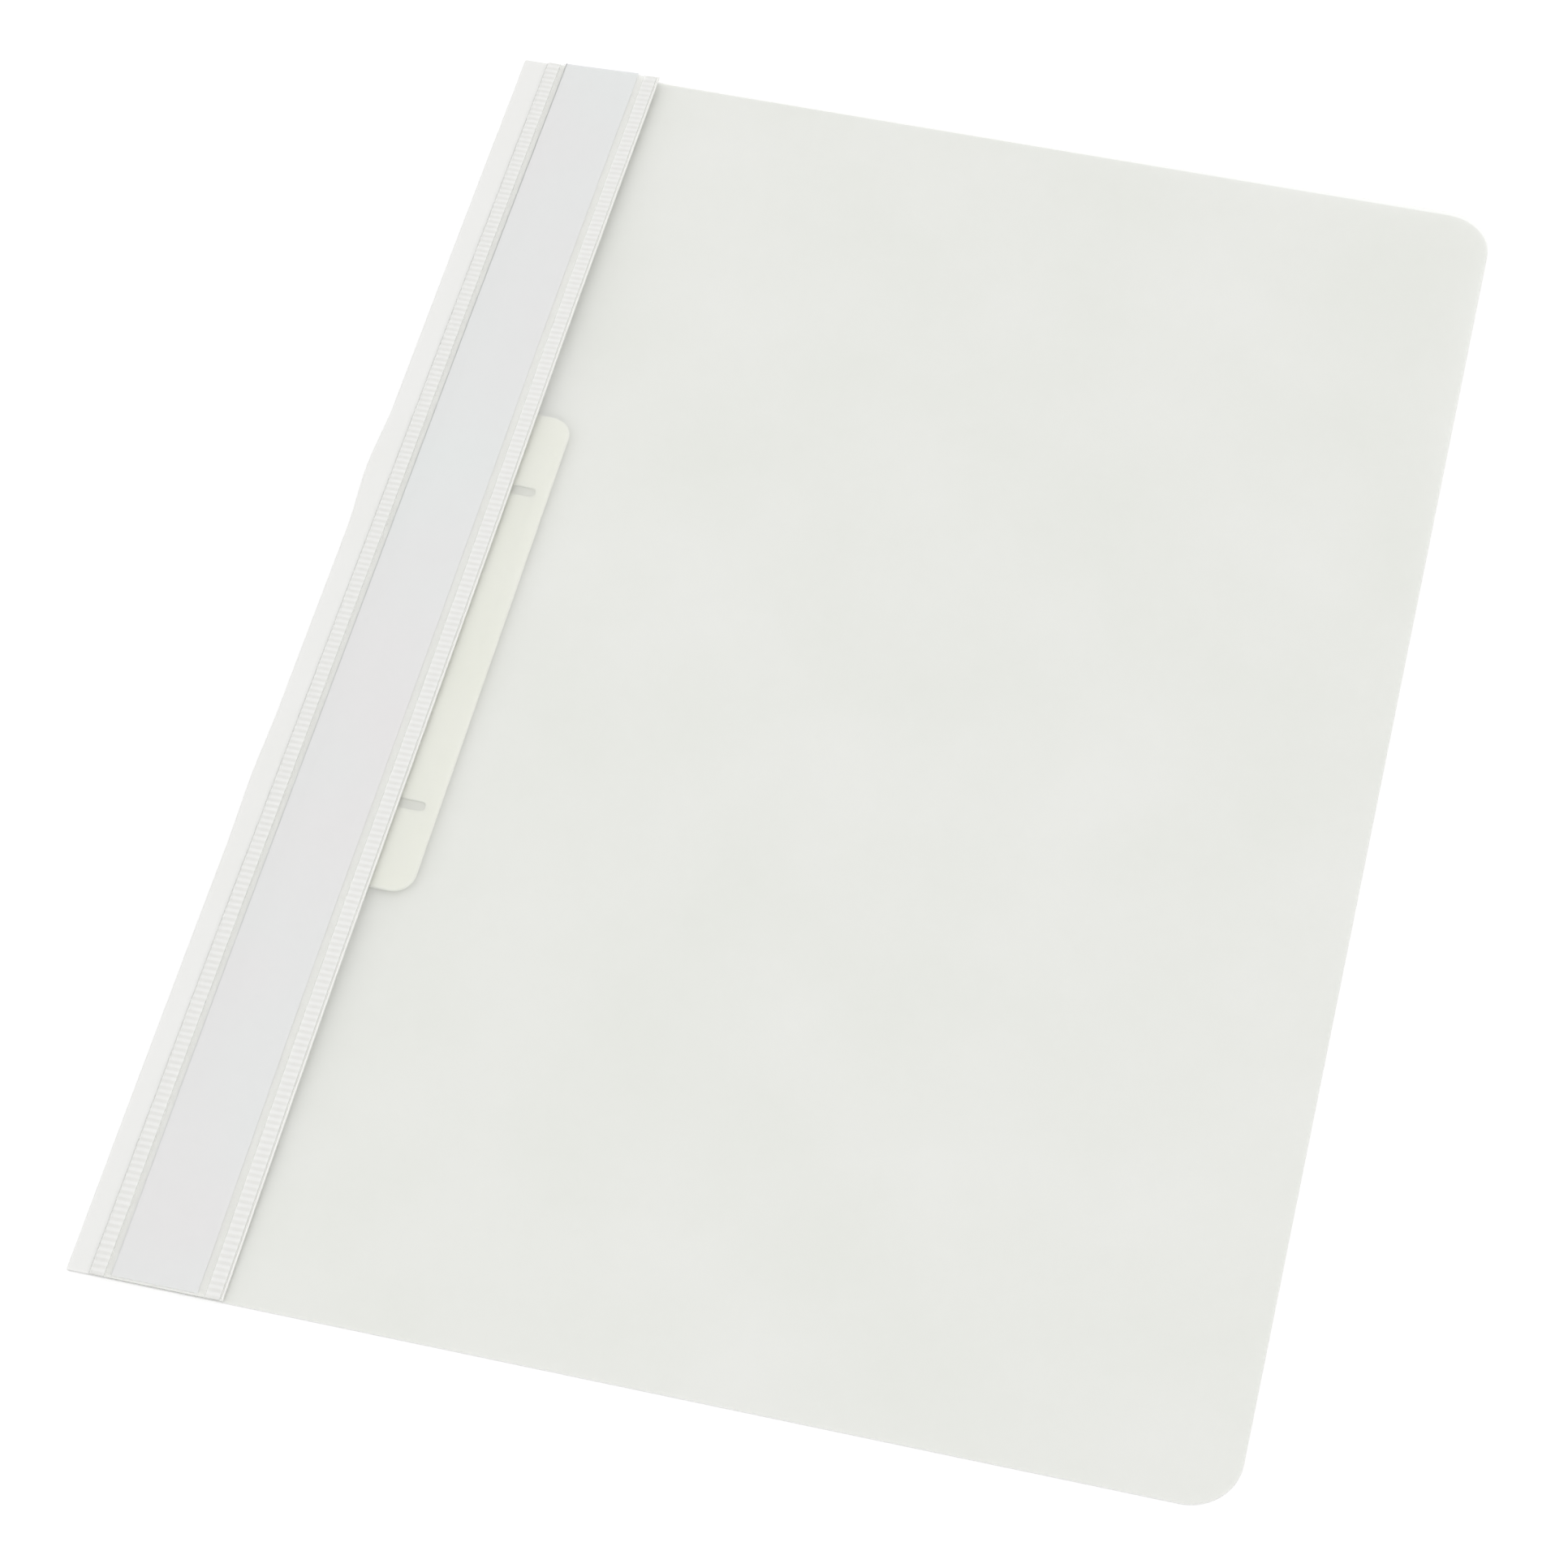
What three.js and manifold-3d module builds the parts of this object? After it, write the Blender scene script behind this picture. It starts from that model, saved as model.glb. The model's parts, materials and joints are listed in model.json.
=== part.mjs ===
// A4 fastener folder, closed, lying on its back cover. Millimetres, +Z up.
// The origin is the middle of the back cover's underside. The spine is on the -X side, and +Y runs up it.
// Inside the folder group, across is measured from the spine's edge and along from the spine's lower end.

import * as THREE from 'three';
import { mergeVertices } from 'three/addons/utils/BufferGeometryUtils.js';
import Module from 'manifold-3d';

const wasm = await Module();
wasm.setup();

// Covers
const coverWidth = 220;
const coverHeight = 310;
const cornerRadius = 10;
const backFilm = 0.3;
const frontFilm = 0.2;

// Spine fold and the crease that the front leaf turns about
const spineBand = 4.6;
const foldGap = 0.25;
const creaseGap = 0.3;
const upperSpineBulge = 0.8;
const lowerSpineBulge = 0.35;
const bulgeReach = 17;

// Label pocket
const pocketFilm = 0.2;
const weldWidth = 3.1;
const edgeMargin = 0.65;
const labelWidth = 16.9;
const labelMargin = 1.25;
const labelSheet = 0.2;
const labelOverhang = 0.5;
const labelInset = 0.4;
const windowSlope = 0.55;
const labelSidePlay = 0.15;
const pocketLiftBottom = 0.2;
const pocketLiftTop = 1.5;
const rungPitch = 1.42;
const rungWidth = 0.8;
const rungHeight = 0.1;
const rungEndInset = 0.15;

// Filing strip, prongs and cover bar
const filingStripStart = 1.6;
const filingStripWidth = 28.4;
const filingStripFilm = 0.3;
const filingStripInset = 34;
const filingFlatRun = 3.4;
const filingRampRun = 3;
const prongSpacing = 80;
const fastenerMiddle = 151.9;
const prongAcross = 21.2;
const prongWidth = 5;
const prongLength = 33;
const steelSheet = 0.3;
const prongPlateWidth = 10;
const prongPlateEnd = 8;
const prongPlateCorner = 2;
const slitPlay = 0.3;
const barWidth = 24.2;
const barLength = 120.2;
const barSheet = 0.8;
const barCorner = 4.5;
const barEdgeToSlot = 3;
const slotWidth = 2.2;
const slotPastProng = 1;

// Clearances between films that lie on each other, and between the leaves
const filmGap = 0.05;
const leafGap = 0.15;
const prongGap = 0.1;

// How the front leaf lies: its slopes beyond the fastener's ends and edge, and the curl of its free corner
const tentRun = 12;
const tentLead = 1.2;
const barDrop = 2.5;
const barShoulder = 0.4;
const weldSlope = 5;
const prongShoulder = 3;
const seamRise = 0.6;
const coverCurl = 0.8;

// Steps of the curved forms
const cornerSteps = 5;
const foldSteps = 6;
const bulgeSteps = 6;
const slowRiseSteps = 4;
const tentSteps = 3;
const barDropSteps = 4;
const curlSteps = 3;
const labelSteps = 3;
const outlineSteps = 4;
const vertexWeld = 1e-4;

// Heights, built up from the underside
const plateLevel = backFilm + filmGap;
const filingStripLevel = plateLevel + steelSheet + filmGap;
const barLevel = filingStripLevel + filingStripFilm + filmGap;
const prongLevel = barLevel + barSheet + filmGap;
const overProngLevel = prongLevel + steelSheet + prongGap;
const restLevel = backFilm + leafGap;
const seamEndLevel = backFilm + foldGap;
const overStripLevel = plateLevel + filingStripFilm + leafGap;
const seamMiddleLevel = overStripLevel + seamRise;

// Places across the folder
const leafStart = spineBand + creaseGap / 2;
const bandEnd = spineBand - creaseGap / 2;
const leftWeldEnd = leafStart + weldWidth;
const labelStart = leftWeldEnd + labelMargin;
const labelEnd = labelStart + labelWidth;
const raisedStart = labelStart - labelSidePlay;
const raisedEnd = labelEnd + labelSidePlay;
const rightWeldStart = labelEnd + labelMargin;
const rightWeldEnd = rightWeldStart + weldWidth;
const pocketEnd = rightWeldEnd + edgeMargin;
const filingStripEnd = filingStripStart + filingStripWidth;
const filingRampStart = filingStripStart + filingFlatRun;
const filingRampEnd = filingRampStart + filingRampRun;
const prongStart = prongAcross - prongWidth / 2;
const prongEnd = prongAcross + prongWidth / 2;
const prongPlateStart = prongAcross - prongPlateWidth / 2;
const slotStart = prongStart - slotPastProng;
const barStart = slotStart - barEdgeToSlot;
const barEnd = barStart + barWidth;
const slotEnd = barEnd - barEdgeToSlot;
const underPocketStart = leftWeldEnd + weldSlope;
const underPocketEnd = prongEnd + prongShoulder;
const shoulder = barEnd + barShoulder;

// Places along the spine
const filingStripLow = filingStripInset;
const filingStripHigh = coverHeight - filingStripInset;
const prongPlaces = [fastenerMiddle - prongSpacing / 2, fastenerMiddle + prongSpacing / 2];
const barLow = fastenerMiddle - barLength / 2;
const barHigh = fastenerMiddle + barLength / 2;
const tentLow = barLow - tentLead;
const tentHigh = barHigh + tentLead;
const plateLow = prongPlaces[0] - prongPlateEnd;
const plateHigh = prongPlaces[1] + prongPlateEnd;

const { smoothstep, lerp } = THREE.MathUtils;

function evenly(from, to, steps) {
  return Array.from({ length: steps + 1 }, (_, step) => lerp(from, to, step / steps));
}

// The places along the spine where a leaf needs a section: in its rounded corners, where it rises slowly
// towards the fastener, and those that are given.
const cornerPlaces = evenly(0, Math.PI / 2, cornerSteps).map((turn) => cornerRadius * (1 - Math.cos(turn)));
const slowRisePlaces = [
  ...evenly(cornerRadius, barLow - tentRun, slowRiseSteps).slice(1, -1),
  ...evenly(barHigh + tentRun, coverHeight - cornerRadius, slowRiseSteps).slice(1, -1),
];

function withSlowRise(places) {
  return [...slowRisePlaces, ...places].sort((a, b) => a - b);
}

function withCorners(places) {
  const upperCorner = cornerPlaces.map((place) => coverHeight - place).reverse();
  return [...cornerPlaces, ...places, ...upperCorner];
}

// How far a leaf reaches across at a place along the spine: less in its rounded corners.
function leafEdge(along) {
  const fromEnd = Math.min(along, coverHeight - along);
  const intoCorner = Math.max(cornerRadius - fromEnd, 0);
  return coverWidth - cornerRadius + Math.sqrt(cornerRadius ** 2 - intoCorner ** 2);
}

// A film as a closed solid. At each place along the spine, sectionAt gives pairs of points: one on the
// film's lower or outer face and the one across from it on the other face.
function filmGeometry(places, sectionAt) {
  const rings = places.map((along) => sectionAt(along).map(([outer, inner]) => [
    [outer[0], along, outer[1]],
    [inner[0], along, inner[1]],
  ]));
  const pairs = rings[0].length;
  const outer = (row, pair) => (row * pairs + pair) * 2;
  const inner = (row, pair) => outer(row, pair) + 1;
  const triangles = [];
  const quad = (a, b, c, d) => triangles.push(a, b, c, c, b, d);
  for (let row = 0; row + 1 < rings.length; row += 1) {
    for (let pair = 0; pair + 1 < pairs; pair += 1) {
      quad(outer(row, pair), outer(row + 1, pair), outer(row, pair + 1), outer(row + 1, pair + 1));
      triangles.push(inner(row, pair), inner(row, pair + 1), inner(row + 1, pair));
      triangles.push(inner(row + 1, pair), inner(row, pair + 1), inner(row + 1, pair + 1));
    }
    quad(inner(row, 0), inner(row + 1, 0), outer(row, 0), outer(row + 1, 0));
    quad(outer(row, pairs - 1), outer(row + 1, pairs - 1), inner(row, pairs - 1), inner(row + 1, pairs - 1));
  }
  const last = rings.length - 1;
  for (let pair = 0; pair + 1 < pairs; pair += 1) {
    quad(outer(0, pair), outer(0, pair + 1), inner(0, pair), inner(0, pair + 1));
    quad(outer(last, pair), inner(last, pair), outer(last, pair + 1), inner(last, pair + 1));
  }
  const geometry = new THREE.BufferGeometry();
  geometry.setAttribute('position', new THREE.Float32BufferAttribute(rings.flat(3), 3));
  geometry.setIndex(triangles);
  geometry.computeVertexNormals();
  return geometry;
}

// A sheet whose underside follows levelAt, with points at the given places across.
function sheetSection(columns, along, levelAt, thickness) {
  return columns.map((across) => {
    const level = levelAt(across, along);
    return [[across, level], [across, level + thickness]];
  });
}

function sheetGeometry(places, columns, levelAt, thickness) {
  return filmGeometry(places, (along) => sheetSection(columns, along, levelAt, thickness));
}

// Heights of the films that lie on each other. They come down to the back leaf at the folder's ends, and
// rise over the filing strip and further over the fastener.
function restingLevel(along) {
  const overStrip = smoothstep(Math.min(along, coverHeight - along), 0, filingStripInset);
  return lerp(seamEndLevel, overStripLevel, overStrip);
}

function slowRise(along) {
  const lowRise = smoothstep(along, 0, barLow - tentRun);
  const highRise = smoothstep(coverHeight - along, 0, coverHeight - barHigh - tentRun);
  return lowRise * highRise;
}

function seamLevel(along) {
  return lerp(restingLevel(along), seamMiddleLevel, slowRise(along));
}

function overBar(along) {
  const low = smoothstep(along, tentLow - tentRun, tentLow);
  const high = smoothstep(along, tentHigh, tentHigh + tentRun);
  return low * (1 - high);
}

function upperHalf(along) {
  return smoothstep(along, coverHeight / 2, coverHeight);
}

// From 0 at the left weld to 1 where the films lie on the bar.
function besideWeld(across) {
  const t = (across - leftWeldEnd) / (underPocketStart - leftWeldEnd);
  return Math.min(Math.max(t, 0), 1);
}

// The front leaf is held up by the fastener and comes down onto the back leaf beyond the bar's edge.
function frontLevel(across, along) {
  const held = overBar(along);
  const underPocket = lerp(restingLevel(along), overProngLevel, held);
  const atBarEdge = lerp(restingLevel(along), prongLevel + filmGap, held);
  if (across <= underPocketStart) {
    return lerp(seamLevel(along), underPocket, besideWeld(across));
  }
  if (across <= shoulder) {
    const t = Math.max(across - underPocketEnd, 0) / (shoulder - underPocketEnd);
    return lerp(underPocket, atBarEdge, t);
  }
  const fall = smoothstep(across, shoulder, shoulder + barDrop);
  const curl = smoothstep(across, coverWidth / 2, coverWidth) * upperHalf(along);
  return lerp(atBarEdge, restLevel, fall) + coverCurl * curl;
}

// The pocket's free edge stands a little off the leaf, most at the upper end of the spine.
function pocketLift(across, along) {
  const reach = Math.max(across - leftWeldEnd, 0) / (pocketEnd - leftWeldEnd);
  return lerp(pocketLiftBottom, pocketLiftTop, upperHalf(along)) * reach ** 1.5;
}

function pocketBaseLevel(across, along) {
  const onBar = lerp(restingLevel(along), overProngLevel, slowRise(along));
  const lying = lerp(seamLevel(along), onBar, besideWeld(across));
  return lying + frontFilm + filmGap + pocketLift(across, along);
}

function labelLevel(across, along) {
  return pocketBaseLevel(across, along) + pocketFilm + filmGap;
}

function windowLevel(across, along) {
  const left = smoothstep(across, raisedStart - windowSlope, raisedStart);
  const right = smoothstep(across, raisedEnd, raisedEnd + windowSlope);
  return labelLevel(across, along) + (labelSheet + filmGap) * left * (1 - right);
}

// How far the spine fold is pushed out where the prongs press the films apart.
function spineBulge(along) {
  const near = (place) => 1 - smoothstep(Math.abs(along - place), 0, bulgeReach);
  return lowerSpineBulge * near(prongPlaces[0]) + upperSpineBulge * near(prongPlaces[1]);
}

// Back leaf and spine fold: one film that turns over at the spine and ends at the crease.
function backSection(along) {
  const foldHeight = seamLevel(along) + frontFilm;
  const radius = foldHeight / 2;
  const middle = radius - spineBulge(along);
  const fold = evenly(Math.PI / 2, (3 * Math.PI) / 2, foldSteps).map((turn) => [
    [middle + radius * Math.cos(turn), radius + radius * Math.sin(turn)],
    [middle + (radius - backFilm) * Math.cos(turn), radius + (radius - backFilm) * Math.sin(turn)],
  ]);
  const crease = [[bandEnd, foldHeight], [bandEnd, foldHeight - backFilm]];
  const freeEdge = [[leafEdge(along), 0], [leafEdge(along), backFilm]];
  return [crease, ...fold, freeEdge];
}

function bulgePlaces(prong) {
  return evenly(prong - bulgeReach, prong + bulgeReach, bulgeSteps);
}

const backPlaces = withCorners(withSlowRise(prongPlaces.flatMap(bulgePlaces)));
const backCover = filmGeometry(backPlaces, backSection);

// Front leaf
const frontPlaces = withSlowRise([
  ...evenly(tentLow - tentRun, tentLow, tentSteps),
  fastenerMiddle,
  ...evenly(tentHigh, tentHigh + tentRun, tentSteps),
]);
const frontColumns = [
  leafStart,
  leftWeldEnd,
  underPocketStart,
  underPocketEnd,
  ...evenly(shoulder, shoulder + barDrop, barDropSteps),
  ...evenly(coverWidth / 2, coverWidth - 2 * cornerRadius, curlSteps),
];

function frontSection(along) {
  return sheetSection([...frontColumns, leafEdge(along)], along, frontLevel, frontFilm);
}

const frontCover = filmGeometry(withCorners(frontPlaces), frontSection);

// Label pocket and label
const pocketPlaces = [0, ...frontPlaces, coverHeight];
const labelPlaces = [labelInset, ...frontPlaces, coverHeight + labelOverhang];
const labelColumns = [labelStart, ...evenly(underPocketStart, labelEnd, labelSteps)];
const rightWeldColumns = [rightWeldStart, rightWeldEnd, pocketEnd];
const baseColumns = [leafStart, leftWeldEnd, ...labelColumns, ...rightWeldColumns];
const windowColumns = [
  leafStart,
  leftWeldEnd,
  raisedStart - windowSlope,
  raisedStart,
  ...labelColumns,
  raisedEnd,
  raisedEnd + windowSlope,
  ...rightWeldColumns,
];
const pocketBase = sheetGeometry(pocketPlaces, baseColumns, pocketBaseLevel, pocketFilm);
const plainWindow = sheetGeometry(pocketPlaces, windowColumns, windowLevel, pocketFilm);
const labelInsert = sheetGeometry(labelPlaces, labelColumns, labelLevel, labelSheet);

// One rung of a ladder weld: a low ridge across the weld, rooted halfway down the window film.
function rungGeometry(start, end, place) {
  const places = [place - rungWidth / 2, place, place + rungWidth / 2];
  return filmGeometry(places, (along) => [start + rungEndInset, end - rungEndInset].map((across) => {
    const root = windowLevel(across, along) + pocketFilm / 2;
    const ridge = along === place ? pocketFilm / 2 + rungHeight : pocketFilm / 4;
    return [[across, root], [across, root + ridge]];
  }));
}

function pocketWindowGeometry() {
  const rungCount = Math.floor(coverHeight / rungPitch);
  const firstRung = (coverHeight - (rungCount - 1) * rungPitch) / 2;
  let film = toSolid(plainWindow);
  for (const [start, end] of [[leafStart, leftWeldEnd], [rightWeldStart, rightWeldEnd]]) {
    for (let rung = 0; rung < rungCount; rung += 1) {
      film = film.add(toSolid(rungGeometry(start, end, firstRung + rung * rungPitch)));
    }
  }
  return toGeometry(film);
}

// Closed solids in and out of manifold-3d
function toSolid(geometry) {
  const bare = geometry.clone();
  bare.deleteAttribute('normal');
  bare.deleteAttribute('uv');
  const merged = mergeVertices(bare, vertexWeld);
  return new wasm.Manifold(new wasm.Mesh({
    numProp: 3,
    vertProperties: new Float32Array(merged.attributes.position.array),
    triVerts: new Uint32Array(merged.index.array),
  }));
}

function toGeometry(solid) {
  const mesh = solid.getMesh();
  const geometry = new THREE.BufferGeometry();
  geometry.setAttribute('position', new THREE.BufferAttribute(new Float32Array(mesh.vertProperties), 3));
  geometry.setIndex(new THREE.BufferAttribute(new Uint32Array(mesh.triVerts), 1));
  geometry.computeVertexNormals();
  return geometry;
}

// A rectangle from its lower left corner, with rounded corners.
function roundedOutline(left, low, width, length, radius) {
  const right = left + width;
  const high = low + length;
  const outline = new THREE.Shape();
  outline.absarc(right - radius, low + radius, radius, -Math.PI / 2, 0);
  outline.absarc(right - radius, high - radius, radius, 0, Math.PI / 2);
  outline.absarc(left + radius, high - radius, radius, Math.PI / 2, Math.PI);
  outline.absarc(left + radius, low + radius, radius, Math.PI, (3 * Math.PI) / 2);
  return outline;
}

function plate(outline, level, thickness) {
  const options = { depth: thickness, bevelEnabled: false, curveSegments: outlineSteps };
  return new THREE.ExtrudeGeometry(outline, options).translate(0, 0, level);
}

function block(width, length, thickness, across, along, level) {
  return new THREE.BoxGeometry(width, length, thickness).translate(across, along, level + thickness / 2);
}

// Filing strip: it lies on the back leaf and is raised over the steel plate.
function filingStripGeometry() {
  const columns = [filingStripStart, filingRampStart, filingRampEnd, filingStripEnd];
  const rampLow = plateLow - 2 * filingRampRun;
  const rampHigh = plateHigh + 2 * filingRampRun;
  const raisedPlaces = [plateLow - filingRampRun, plateHigh + filingRampRun];
  const places = [filingStripLow, rampLow, ...raisedPlaces, rampHigh, filingStripHigh];
  const levelAt = (across, along) => {
    const raised = across >= filingRampEnd && along > rampLow && along < rampHigh;
    return raised ? filingStripLevel : plateLevel;
  };
  const slitWidth = prongWidth + 2 * slitPlay;
  const slitLength = steelSheet + 2 * slitPlay;
  const slitLevel = filingStripLevel - filingStripFilm;
  let strip = toSolid(sheetGeometry(places, columns, levelAt, filingStripFilm));
  for (const place of prongPlaces) {
    const slit = block(slitWidth, slitLength, 3 * filingStripFilm, prongAcross, place, slitLevel);
    strip = strip.subtract(toSolid(slit));
  }
  return toGeometry(strip);
}

// Prongs: each rises from the plate through the strip and the bar, and is pressed flat towards the middle.
function prongOutline(place, side) {
  const outline = new THREE.Shape();
  const root = place - (side * steelSheet) / 2;
  const tip = place + side * (prongLength - prongWidth / 2);
  outline.moveTo(prongStart, root);
  outline.lineTo(prongEnd, root);
  outline.lineTo(prongEnd, tip);
  outline.absarc(prongAcross, tip, prongWidth / 2, 0, side * Math.PI, side < 0);
  outline.lineTo(prongStart, root);
  return outline;
}

function tongueStripGeometry() {
  const length = plateHigh - plateLow;
  const outline = roundedOutline(prongPlateStart, plateLow, prongPlateWidth, length, prongPlateCorner);
  const rise = prongLevel + steelSheet - plateLevel;
  let strip = toSolid(plate(outline, plateLevel, steelSheet));
  prongPlaces.forEach((place) => {
    const side = Math.sign(fastenerMiddle - place);
    const stem = block(prongWidth, steelSheet, rise, prongAcross, place, plateLevel);
    strip = strip.add(toSolid(stem)).add(toSolid(plate(prongOutline(place, side), prongLevel, steelSheet)));
  });
  return toGeometry(strip);
}

// Cover bar: a round-cornered strip with a round-ended slot across it for each prong.
function slotOutline(place) {
  const radius = slotWidth / 2;
  const slot = new THREE.Path();
  slot.absarc(slotStart + radius, place, radius, Math.PI / 2, (3 * Math.PI) / 2);
  slot.absarc(slotEnd - radius, place, radius, -Math.PI / 2, Math.PI / 2);
  return slot;
}

function coverBarGeometry() {
  const outline = roundedOutline(barStart, barLow, barWidth, barLength, barCorner);
  outline.holes.push(...prongPlaces.map(slotOutline));
  return plate(outline, barLevel, barSheet);
}

// Finishes
const whiteFilm = new THREE.MeshStandardMaterial({ color: 0xe9eae6, roughness: 0.45, metalness: 0 });
const clearFilm = new THREE.MeshStandardMaterial({
  color: 0xe6e8e4, roughness: 0.4, metalness: 0, transparent: true, opacity: 0.5,
});
const windowFilm = new THREE.MeshStandardMaterial({
  color: 0xe8e9e7, roughness: 0.3, metalness: 0, transparent: true, opacity: 0.4,
});
const paper = new THREE.MeshStandardMaterial({ color: 0xe4e5e6, roughness: 0.85, metalness: 0 });
const creamPlastic = new THREE.MeshStandardMaterial({ color: 0xe9ebdc, roughness: 0.5, metalness: 0 });
const tinnedSteel = new THREE.MeshStandardMaterial({ color: 0xb9bcbe, roughness: 0.35, metalness: 1 });

function named(name, geometry, material) {
  const mesh = new THREE.Mesh(geometry, material);
  mesh.name = name;
  return mesh;
}

const backLeaf = new THREE.Group();
backLeaf.add(
  named('back_cover', backCover, whiteFilm),
  named('filing_strip', filingStripGeometry(), whiteFilm),
  named('tongue_strip', tongueStripGeometry(), tinnedSteel),
  named('cover_bar', coverBarGeometry(), creamPlastic),
);

const frontLeaf = new THREE.Group();
frontLeaf.add(
  named('front_cover', frontCover, clearFilm),
  named('label_pocket_base', pocketBase, whiteFilm),
  named('label_pocket_window', pocketWindowGeometry(), windowFilm),
  named('label_insert', labelInsert, paper),
);

const folder = new THREE.Group();
folder.position.set(-coverWidth / 2, -coverHeight / 2, 0);
folder.add(backLeaf, frontLeaf);

export default folder;
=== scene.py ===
import json
import math

import bmesh
import bpy
from mathutils import Matrix, Vector, noise


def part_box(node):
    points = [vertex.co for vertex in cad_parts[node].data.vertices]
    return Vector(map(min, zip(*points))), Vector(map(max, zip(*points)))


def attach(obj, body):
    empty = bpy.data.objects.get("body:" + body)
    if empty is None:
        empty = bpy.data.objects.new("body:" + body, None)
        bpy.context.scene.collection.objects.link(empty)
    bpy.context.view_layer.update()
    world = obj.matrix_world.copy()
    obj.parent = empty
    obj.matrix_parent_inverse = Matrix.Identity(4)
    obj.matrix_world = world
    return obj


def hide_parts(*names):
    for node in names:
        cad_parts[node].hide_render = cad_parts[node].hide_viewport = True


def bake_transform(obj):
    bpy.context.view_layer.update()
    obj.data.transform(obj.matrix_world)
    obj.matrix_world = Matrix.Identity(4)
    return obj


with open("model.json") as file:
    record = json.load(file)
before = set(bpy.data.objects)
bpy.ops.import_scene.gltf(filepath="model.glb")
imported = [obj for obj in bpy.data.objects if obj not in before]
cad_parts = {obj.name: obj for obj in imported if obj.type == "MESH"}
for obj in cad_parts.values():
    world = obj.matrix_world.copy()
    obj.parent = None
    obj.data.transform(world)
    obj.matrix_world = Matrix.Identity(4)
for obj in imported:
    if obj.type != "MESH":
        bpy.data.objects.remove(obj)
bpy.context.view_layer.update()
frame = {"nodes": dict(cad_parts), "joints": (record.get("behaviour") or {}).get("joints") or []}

# A4 fastener folder: matted polypropylene films, a label pocket with two ladder welds, a cream cover bar
# and a steel prong strip. Lengths are in millimetres, measured across from the spine's edge and along from
# the spine's lower end, and placed() turns them into the frame's metres.

MM = 0.001
HALF_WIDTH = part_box("back_cover")[1][0] / MM
HALF_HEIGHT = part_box("back_cover")[1][1] / MM


def node_box(name):
    """The lowest and highest corner of a CAD node, in millimetres from the spine's lower end."""
    low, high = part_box(name)
    shift = Vector((HALF_WIDTH, HALF_HEIGHT, 0))
    return Vector(low) / MM + shift, Vector(high) / MM + shift


# Leaves
LEAF_WIDTH = 2 * HALF_WIDTH
LEAF_HEIGHT = 2 * HALF_HEIGHT
CORNER_RADIUS = 10
BACK_FILM = 0.3
FRONT_FILM = 0.2
FILM_GAP = 0.03
LEAF_GAP = 0.15
FOLD_GAP = 0.25
COVER_CURL = 0.8
COVER_WAVE = 0.08
WAVE_SIZE = 70

# Crease and spine fold
CREASE = frame["joints"][0]["pos_m"][0] / MM + HALF_WIDTH
UPPER_BULGE = 0.8
LOWER_BULGE = 0.35
BULGE_REACH = 17
BLEND_BEFORE = 1.2

# Fastener
bar_low, bar_high = node_box("cover_bar")
strip_low, strip_high = node_box("filing_strip")
plate_low, plate_high = node_box("tongue_strip")
FASTENER_MIDDLE = (bar_low.y + bar_high.y) / 2
PRONG_SPACING = 80
PRONG_PLACES = [FASTENER_MIDDLE - PRONG_SPACING / 2, FASTENER_MIDDLE + PRONG_SPACING / 2]
PRONG_WIDTH = 5
PRONG_END = (plate_low.x + plate_high.x) / 2 + PRONG_WIDTH / 2
BAR_CORNER = 4.5
BAR_ROUNDING = 0.3
BAR_DROP = 2.6
SLOT_WIDTH = 2.2
BAR_EDGE_TO_SLOT = 3
SLOT_START = bar_low.x + BAR_EDGE_TO_SLOT
SLOT_END = bar_high.x - BAR_EDGE_TO_SLOT
WEB_START = PRONG_END + 0.4
WEB_MIDDLE = bar_low.z + 0.35
WEB_SHEET = 0.2
TENT_RUN = 12

# Label pocket
label_low, label_high = node_box("label_insert")
pocket_low, pocket_high = node_box("label_pocket_base")
POCKET_FILM = 0.2
LABEL_SHEET = 0.2
LABEL_SIDE_PLAY = 0.15
WINDOW_SLOPE = 0.55
WELD_WIDTH = 3.1
EDGE_MARGIN = 0.65
WELD_SKEW = 0.9
RUNG_PITCH = 1.42
RUNG_RELIEF = 0.035
RUNG_INSET = 0.3
RUNG_FADE = 0.4
WELD_PRESS = 0.42
THINNEST_FILM = 0.06
POCKET_LIFT_BOTTOM = 0.08
POCKET_LIFT_TOP = 1.2
LEAF_START = pocket_low.x
LEFT_WELD_END = LEAF_START + WELD_WIDTH
POCKET_END = pocket_high.x
RIGHT_WELD_END = POCKET_END - EDGE_MARGIN
RIGHT_WELD_START = RIGHT_WELD_END - WELD_WIDTH
WELDS = [(LEAF_START, LEFT_WELD_END), (RIGHT_WELD_START, RIGHT_WELD_END)]
ON_BAR_START = LEFT_WELD_END + 5
LEAF_FALL_RUN = 9

# Heights of the films at the folder's ends, over the filing strip and over the fastener
REST = BACK_FILM + LEAF_GAP
SEAM_END = BACK_FILM + FOLD_GAP
OVER_STRIP = 2 * BACK_FILM + FILM_GAP + LEAF_GAP
SEAM_MIDDLE = OVER_STRIP + 0.6
OVER_PRONG = plate_high.z + 0.1
OVER_BAR = bar_high.z + 2 * FILM_GAP

# Camera, from the four corners of the folder in the photograph
CAMERA_PLACE = (0.12585, -0.45318, 0.68863)
CAMERA_TARGET = (0.01858, -0.01552, 0.0)
CAMERA_ROLL = -0.926
CAMERA_LENS = 94.71
CAMERA_SHIFT = -0.0809


def placed(across, along, up):
    return Vector((across - HALF_WIDTH, along - HALF_HEIGHT, up)) * MM


def lerp(a, b, t):
    return a + (b - a) * t


def smooth(value, start, end):
    t = min(max((value - start) / (end - start), 0), 1)
    return t * t * (3 - 2 * t)


def evenly(start, end, steps):
    return [lerp(start, end, step / steps) for step in range(steps + 1)]


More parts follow.
